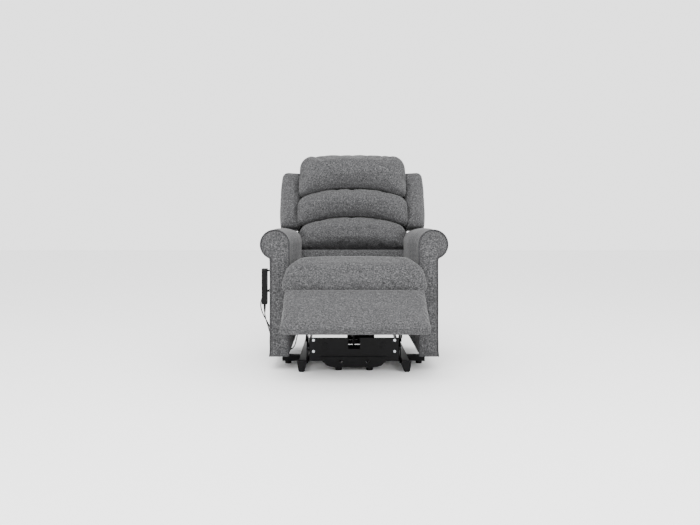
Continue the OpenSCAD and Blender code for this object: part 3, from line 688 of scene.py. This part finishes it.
for label, side in (("left", -1), ("right", 1)):
    wing = wing_piece(f"wing_{label}_pad", f"wing_{label}", side)
    print(wing.name, len(wing.data.polygons), "quads")

# %% [markdown]
# ## The outside back
# The outside back is a fabric-covered shell over the frame, drawn as one outline and extruded.
# It is narrow between the arms and steps out behind the wings. Two welts run down it where the
# three panels of the cover are joined.

# %% Outside back
HINGE_HALF, HINGE_TOP, SHELL_LOW = 0.236, 0.060, -0.045
LOW_HALF, HIGH_HALF = 0.278, 0.372
SHELL_STEP = 0.246
half_outline = [(HINGE_HALF, SHELL_LOW), (HINGE_HALF, HINGE_TOP), (LOW_HALF, HINGE_TOP + 0.012),
                (LOW_HALF, SHELL_STEP), (HIGH_HALF, SHELL_STEP), (HIGH_HALF, 0.490),
                (HIGH_HALF - 0.008, 0.510), (HIGH_HALF - 0.026, 0.520), (BACK_HALF + 0.012, 0.528),
                (BACK_HALF - 0.002, 0.556), (BACK_HALF - 0.010, 0.574), (BACK_HALF - 0.030, 0.585),
                (0.150, 0.592), (0.0, 0.595)]
outline = half_outline + [(-x, z) for x, z in reversed(half_outline[:-1])]
shell = slab("outside_back", outline, 0.034, 0.064, 12)
skin(shell, 5)
ease(shell, 2)


def stretched(co):
    """The cover is pulled over the frame, a little hollow between its welts."""
    hollow = 0.0035 * math.cos(min(abs(co.x) / 0.17, 1.6) * math.pi) * smoothstep(0.052, 0.064, co.y)
    return co + Vector((0, -abs(hollow) * 0.4 + 0.0012 * noise.noise(co * 14), 0))


reshape(shell, stretched)
shell.data.transform(BACK)
finish_soft(shell, COVER, "backrest")
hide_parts("back_shell")
for label, side in (("left", -1), ("right", 1)):
    line = [BACK @ Vector((side * 0.170, 0.0635, z)) for z in (-0.03, 0.1, 0.2, 0.3, 0.4, 0.5, 0.57)]
    welt = tube(f"outside_back_welt_{label}", line, 0.0026, PIPING_PAINTED_SHADE, "backrest")
print("outside back", len(shell.data.polygons), "quads")

# %% [markdown]
# Between the rolls and the outside back the frame is boxed in with foam and cover. This core
# fills the gap so that nothing shows between a wing and a roll. Between the arms it is narrower,
# so that it swings past them.

# %% Back core
CORE_LOW, CORE_HIGH, CORE_STEP = 0.276, 0.290, 0.210
half_core = [(CORE_LOW, 0.075), (CORE_LOW, CORE_STEP), (CORE_HIGH, CORE_STEP), (CORE_HIGH, 0.500),
             (0.268, 0.520), (0.268, 0.550), (0.250, 0.572)]
core = slab("back_core", half_core + [(-x, z) for x, z in reversed(half_core)], -0.0038, 0.0397, 4)
skin(core, 7)
ease(core, 1)
core.data.transform(BACK)
finish_soft(core, COVER, "backrest", levels=0)
print("back core", len(core.data.polygons), "quads")

# %% [markdown]
# ## The seat
# The seat cushion is T-shaped: its body lies between the arms, and its nose spreads in front of
# them and turns down towards the footrest. Two overlapping boxes go into one voxel skin, which
# joins them, and the nose gets its big round shoulders before it is blown up.

# %% Seat cushion
SEAT_TOP, NOSE_FRONT, NOSE_LOW, PAN = 0.508, -0.335, 0.362, 0.3946
seat = padded_box("seat_pad", (-0.288, -0.252, PAN), (0.288, 0.190, SEAT_TOP - 0.014), [
    (lambda m: m.z > SEAT_TOP - 0.03 and abs(m.x) > 0.27, 0.022),
    (lambda m: m.z > SEAT_TOP - 0.03 and m.y > 0.17, 0.030)])
nose = padded_box("nose", (-0.312, NOSE_FRONT + 0.012, NOSE_LOW), (0.312, -0.209, SEAT_TOP - 0.014), [
    (lambda m: m.y < NOSE_FRONT + 0.03 and m.z > SEAT_TOP - 0.03 and abs(m.x) < 0.01, 0.040),
    (lambda m: m.y < NOSE_FRONT + 0.03 and m.z < NOSE_LOW + 0.03 and abs(m.x) < 0.01, 0.010),
    (lambda m: m.y > NOSE_FRONT + 0.04 and m.z > SEAT_TOP - 0.04 and abs(m.x) > 0.29, 0.034),
    (lambda m: m.y < NOSE_FRONT + 0.05 and abs(m.x) > 0.29, 0.020)])
joined = bmesh.new()
joined.from_mesh(seat.data)
joined.from_mesh(nose.data)
bpy.data.objects.remove(nose)
joined.to_mesh(seat.data)
joined.free()
skin(seat, 6.5)
ease(seat, 4)


def shouldered(co):
    """The nose drops away towards its corners, and the seat falls towards the back."""
    fore = smoothstep(-0.175, -0.265, co.y)
    side = max(abs(co.x) - 0.20, 0.0) / 0.115
    high = smoothstep(0.40, 0.50, co.z)
    crown = 0.008 * (1 - (co.x / 0.3) ** 2) * smoothstep(0.46, 0.50, co.z)
    fall = 0.034 * smoothstep(-0.27, 0.16, co.y) * high
    taper = 1 - 0.045 * fore * high * smoothstep(0.2, 0.3, abs(co.x))
    return Vector((co.x * taper, co.y, co.z - 0.016 * fore * side ** 2.4 * high + crown - fall))


reshape(seat, shouldered)
inflate(seat, 14, lambda co: co.z < PAN + 0.012 and co.y > -0.257 or co.y > 0.170 or co.z < NOSE_LOW + 0.006,
        pressure=4.0, spare=0.015, stiffness=16.0)


def seated(co):
    """The cushion rests on the webbing, and the arms hold its sides."""
    low = PAN if co.y > -0.263 else NOSE_LOW - 0.010
    half = 0.290 if co.y > -0.203 else 0.322
    return Vector((min(max(co.x, -half), half), co.y, max(co.z, low)))


reshape(seat, seated)
finish_soft(seat, COVER, "chair")
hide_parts("seat_cushion")
print("seat cushion", len(seat.data.polygons), "quads")

# %% [markdown]
# ## The footrest
# The footrest is a flat padded board. Its cover wraps the edges, so the pad is blown up with its
# rear face held on the board, and a thin black lining covers the back of the board.

# %% Footrest pad
FOOT_HALF, FOOT_LOW, FOOT_HIGH = 0.307, -0.238, 0.014
PAD_X, PAD_Z, PAD_R = FOOT_HALF - 0.006, FOOT_LOW + 0.006, 0.022
pad_outline = [(PAD_X, FOOT_HIGH), (-PAD_X, FOOT_HIGH)]
pad_outline += corner(-PAD_X + PAD_R, PAD_Z + PAD_R, PAD_R, 180)
pad_outline += corner(PAD_X - PAD_R, PAD_Z + PAD_R, PAD_R, 270)
pad = slab("footrest_cushion", pad_outline, -0.012, 0.0297, 11)
skin(pad, 5.5)
ease(pad, 3)
inflate(pad, 7, lambda co: co.y > 0.022 or co.z > FOOT_HIGH - 0.010, pressure=4.0, spare=0.02)


def flared(co):
    """The pad is a little wider at its free end, and lies flat on its board."""
    return Vector((co.x * (1 + 0.028 * smoothstep(0.0, FOOT_LOW, co.z)), min(co.y, 0.0299), co.z))


reshape(pad, flared)
pad.data.transform(FOOT)
finish_soft(pad, COVER, "footrest")
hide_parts("footrest_pad")
print("footrest pad", len(pad.data.polygons), "quads")

# %% [markdown]
# ## The arms
# A scroll arm is a straight padded panel whose top rolls outwards over a round former. Seen from
# the front it is one outline: up the inner side, round the scroll and down the outer side. The
# outline is spun and extruded edge by edge, closed to a face, and pushed back the length of the
# arm. Soft padding makes the roll fatter on the sitter's side towards the back.

# %% Arm outline
ARM_IN, ARM_OUT, ARM_LOW = 0.2925, 0.3825, 0.060
SCROLL, SCROLL_R = Vector((0.355, 0.0, 0.565)), 0.065
ARM_FRONT, ARM_REAR, FACING_T = -0.205, 0.380, 0.022


def arm_outline(bm, y, inset, outer_inset):
    """Half a keyhole on its side: returns the closed outline's face."""
    radius = SCROLL_R - inset
    outer = ARM_OUT - outer_inset
    low = bmesh.ops.create_vert(bm, co=(ARM_IN + inset * 0.2, y, ARM_LOW + inset))["vert"][0]
    start = bm.verts.new((SCROLL.x - radius, y, SCROLL.z))
    edges = [bm.edges.new((low, start))]
    sweep = math.pi + math.acos((outer - SCROLL.x) / radius)
    spun = bmesh.ops.spin(bm, geom=[start], cent=(SCROLL.x, y, SCROLL.z), axis=(0, 1, 0),
                          angle=sweep, steps=36, use_duplicate=False)
    last = spun["geom_last"][0]
    corner = bm.verts.new((outer, y, ARM_LOW + inset))
    edges += [bm.edges.new((last, corner)), bm.edges.new((corner, low))]
    bmesh.ops.contextual_create(bm, geom=list(bm.edges))
    return list(bm.faces)


probe = bmesh.new()
arm_outline(probe, 0.0, 0.0, 0.0)
print("arm outline:", len(probe.verts), "points, scroll top at", round(max(v.co.z for v in probe.verts), 3))
probe.free()

# %% [markdown]
# The body of the arm stands a little outside its facing, so a narrow strip of the outer side
# shows beyond the piping. A few slow waves of noise keep the long flat sides from looking
# machined, as cloth over wadding never lies dead flat.

# %% Arms
def arm_piece(name, node, side):
    bm = bmesh.new()
    faces = arm_outline(bm, ARM_FRONT + FACING_T - 0.003, 0.001, 0.0)
    out = bmesh.ops.extrude_face_region(bm, geom=faces)["geom"]
    bmesh.ops.translate(bm, vec=(0, ARM_REAR - ARM_FRONT - FACING_T + 0.003, 0),
                        verts=[g for g in out if isinstance(g, bmesh.types.BMVert)])
    bmesh.ops.recalc_face_normals(bm, faces=bm.faces)
    rims = [e for e in bm.edges if abs(e.verts[0].co.y - e.verts[1].co.y) < 1e-6
            and e.verts[0].co.y > 0.3]
    bmesh.ops.bevel(bm, geom=rims, offset=0.014, segments=4, profile=0.5, affect="EDGES", material=-1)
    arm = to_object(name, bm)
    skin(arm, 6.5)
    ease(arm, 4)

    def stuffed(co):
        back = smoothstep(-0.187, 0.033, co.y) * (1 - smoothstep(0.21, 0.29, co.y))
        inner = smoothstep(0.345, 0.30, co.x) * smoothstep(0.40, 0.48, co.z)
        top = smoothstep(0.585, 0.625, co.z)
        sag = 0.0018 * noise.noise(Vector((co.x * 9, co.y * 7, co.z * 9 + side * 3)))
        wave = 0.0012 * noise.noise(Vector((co.x * 30, co.y * 24, co.z * 26 + side * 5)))
        outward = 1 if co.x > 0.34 else -1
        return co + Vector((-0.032 * back * inner + outward * (sag + wave) * 0.9, 0,
                            0.006 * back * top + 0.3 * sag))

    reshape(arm, stuffed)
    reshape(arm, lambda co: Vector((co.x * side, co.y, max(co.z, ARM_LOW + 0.0005))))
    if side < 0:
        arm.data.flip_normals()
    finish_soft(arm, COVER, "chair")
    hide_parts(node)
    return arm


for label, side in (("left", -1), ("right", 1)):
    arm = arm_piece(f"arm_{label}_body", f"arm_{label}", side)
    print(arm.name, len(arm.data.polygons), "quads")

# %% [markdown]
# The facing is a board with thin wadding, covered apart and piped round its edge. Its face is
# inset a few times and raised a little each time, which gives the shallow pillow.

# %% Arm facings
PIPE_R = 0.0034


def facing_piece(label, side):
    outer_inset = 0.009
    bm = bmesh.new()
    faces = arm_outline(bm, ARM_FRONT + FACING_T, 0.0015, outer_inset)
    out = bmesh.ops.extrude_face_region(bm, geom=faces)["geom"]
    front = [g for g in out if isinstance(g, bmesh.types.BMFace)]
    bmesh.ops.translate(bm, vec=(0, -FACING_T + 0.004, 0),
                        verts=[g for g in out if isinstance(g, bmesh.types.BMVert)])
    for inset, rise in ((0.003, 0.0022), (0.006, 0.0016), (0.010, 0.0010)):
        bmesh.ops.inset_region(bm, faces=front, thickness=inset, use_even_offset=True)
        bmesh.ops.translate(bm, vec=(0, -rise, 0), verts=list({v for f in front for v in f.verts}))
    facing = to_object(f"facing_{label}_pad", bm)
    skin(facing, 4)
    ease(facing, 2)

    def lain(co):
        flare = 0.004 * smoothstep(0.11, 0.065, co.z) * smoothstep(0.34, 0.37, co.x)
        wave = 0.0011 * noise.noise(Vector((co.x * 26, co.z * 20, side * 4.0)))
        return Vector(((co.x + flare) * side, min(co.y + wave * smoothstep(-0.187, -0.197, co.y),
                                                 ARM_FRONT + FACING_T), co.z))

    reshape(facing, lain)
    if side < 0:
        facing.data.flip_normals()
    finish_soft(facing, COVER, "chair", levels=0)
    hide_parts(f"facing_{label}")
    radius = SCROLL_R - 0.0005
    sweep = math.pi + math.acos((ARM_OUT - outer_inset - SCROLL.x) / radius)
    y = ARM_FRONT + 0.003
    line = [(ARM_IN + 0.0005, y, z) for z in (0.064, 0.15, 0.30, 0.42, 0.50)]
    for step in range(25):
        a = math.pi - sweep * step / 24
        line.append((SCROLL.x + radius * math.cos(a), y, SCROLL.z + radius * math.sin(a)))
    line += [(ARM_OUT - outer_inset + 0.0005, y, z) for z in (0.48, 0.40, 0.28, 0.16, 0.10)]
    line += [(ARM_OUT - outer_inset + 0.003, y, 0.075), (ARM_OUT - outer_inset + 0.0045, y, 0.063)]
    pipe = tube(f"facing_{label}_piping", [Vector((x * side, yy, z)) for x, yy, z in line], PIPE_R,
                PIPING_PAINTED_SHADE, "chair")
    return facing


for label, side in (("left", -1), ("right", 1)):
    facing = facing_piece(label, side)
    print(facing.name, len(facing.data.polygons), "quads")

# %% [markdown]
# ## The valance and the flap
# A valance panel closes the back below the seat. Its shape, notches and all, is taken from its
# CAD solid: the copy's doubles are merged, it gets an even skin, and slow waves let it hang like
# cloth on a thin board.

# %% Rear valance
copy = bmesh.new()
copy.from_mesh(nodes["rear_valance"].data)
bmesh.ops.remove_doubles(copy, verts=copy.verts, dist=1e-5)
valance = to_object("valance", copy)
skin(valance, 4)
ease(valance, 1)
reshape(valance, lambda co: co + Vector((0, 0.0014 * noise.noise(Vector((co.x * 16, 0, co.z * 7))), 0)))
finish_soft(valance, COVER, "chair", levels=0)
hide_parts("rear_valance")
print("valance", len(valance.data.polygons), "quads")

# %% [markdown]
# A flap of cover joins the seat's nose to the footrest, so that no gap opens when the footrest
# comes up. It is a single piece of cloth, sewn under the nose and to the top of the pad, and it
# crosses the footrest hinge.

# %% Flap
FLAP_W, FLAP_L = 0.580, 0.037
flap_bm = bmesh.new()
bmesh.ops.create_grid(flap_bm, x_segments=56, y_segments=10, size=0.5)
flap_low = FOOT @ Vector((0, 0.004, -0.012))
flap_high = Vector((0, -0.300, 0.372))
for vertex in flap_bm.verts:
    x, t = vertex.co.x, vertex.co.y + 0.5
    place = flap_high.lerp(flap_low, t)
    sag = 0.003 * math.sin(math.pi * t) + 0.0010 * noise.noise(Vector((x * 14, t * 2, 1.0)))
    vertex.co = Vector((x * FLAP_W, place.y - sag, place.z - sag * 0.4))
flap = to_object("flap", flap_bm)
print("flap runs", round((flap_high - flap_low).length, 3), "m")
thick = flap.modifiers.new("thickness", "SOLIDIFY")
thick.thickness = 0.0016
smooth_shade(flap)
flap.data.materials.append(COVER)
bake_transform(flap)

# %% [markdown]
# The back of the footrest board is covered with **spunbond lining**, the thin black cloth that
# upholsterers staple under a frame. It has a faint dimpled pattern about 2 mm apart.

# %% Footrest lining, and painted shade on the back board
def spunbond():
    finish, tree, shader = new_finish("black_spunbond_lining_and_seam_shade", Roughness=0.85, Sheen_Weight=0.1)
    place = add(tree, "ShaderNodeTexCoord").outputs["Object"]
    dimple = add(tree, "ShaderNodeTexVoronoi", {"Vector": place, "Scale": per_metre(2.2)})
    fibre = add(tree, "ShaderNodeTexNoise", {"Vector": place, "Scale": per_metre(5), "Detail": 4.0})
    tree.links.new(ramp(tree, fibre.outputs["Fac"], (0.3, "#141415"), (0.7, "#242426")),
                   shader.inputs["Base Color"])
    roughen(tree, shader, dimple.outputs["Distance"], 0.3)
    return finish


LINING_AND_SEAM_SHADE = spunbond()
# The footrest board gets a real lining. The back board gets the same black cloth as painted shade, so the
# gaps at the seams between the back rolls show dark.
for name in ("footrest_board", "back_board"):
    nodes[name].data.materials.clear()
    nodes[name].data.materials.append(LINING_AND_SEAM_SHADE)
print("made", LINING_AND_SEAM_SHADE.name)

# %% [markdown]
# The chair stands on a plain pale floor in soft studio light: one large panel above and in front
# throws light down on the arm tops and the seat, and a second, weaker one fills the shadows.

# %% Floor and light
floor_mesh = bmesh.new()
bmesh.ops.create_grid(floor_mesh, x_segments=1, y_segments=1, size=12.0)
floor_data = bpy.data.meshes.new("floor")
floor_mesh.to_mesh(floor_data)
floor_mesh.free()
floor = bpy.data.objects.new("floor", floor_data)
bpy.context.collection.objects.link(floor)
floor_finish, _, floor_shader = new_finish("pale_floor", Roughness=0.7)
floor_shader.inputs["Base Color"].default_value = colour("#f4f4f4")
floor_data.materials.append(floor_finish)


def panel(name, place, aim, size, power):
    lamp = bpy.data.lights.new(name, "AREA")
    lamp.shape = "SQUARE"
    lamp.size = size
    lamp.energy = power
    made = bpy.data.objects.new(name, lamp)
    made.location = place
    made.rotation_euler = (Vector(aim) - Vector(place)).to_track_quat("-Z", "Y").to_euler()
    bpy.context.collection.objects.link(made)


panel("key", (-0.6, -2.6, 3.4), (0, 0, 0.5), 2.6, 210)
panel("fill", (2.6, -2.2, 1.6), (0, 0, 0.5), 2.4, 60)
world = bpy.data.worlds.new("studio")
world.use_nodes = True
world.node_tree.nodes["Background"].inputs["Color"].default_value = (1, 1, 1, 1)
world.node_tree.nodes["Background"].inputs["Strength"].default_value = 2.4
bpy.context.scene.world = world
print("lights: key and fill, pale world")
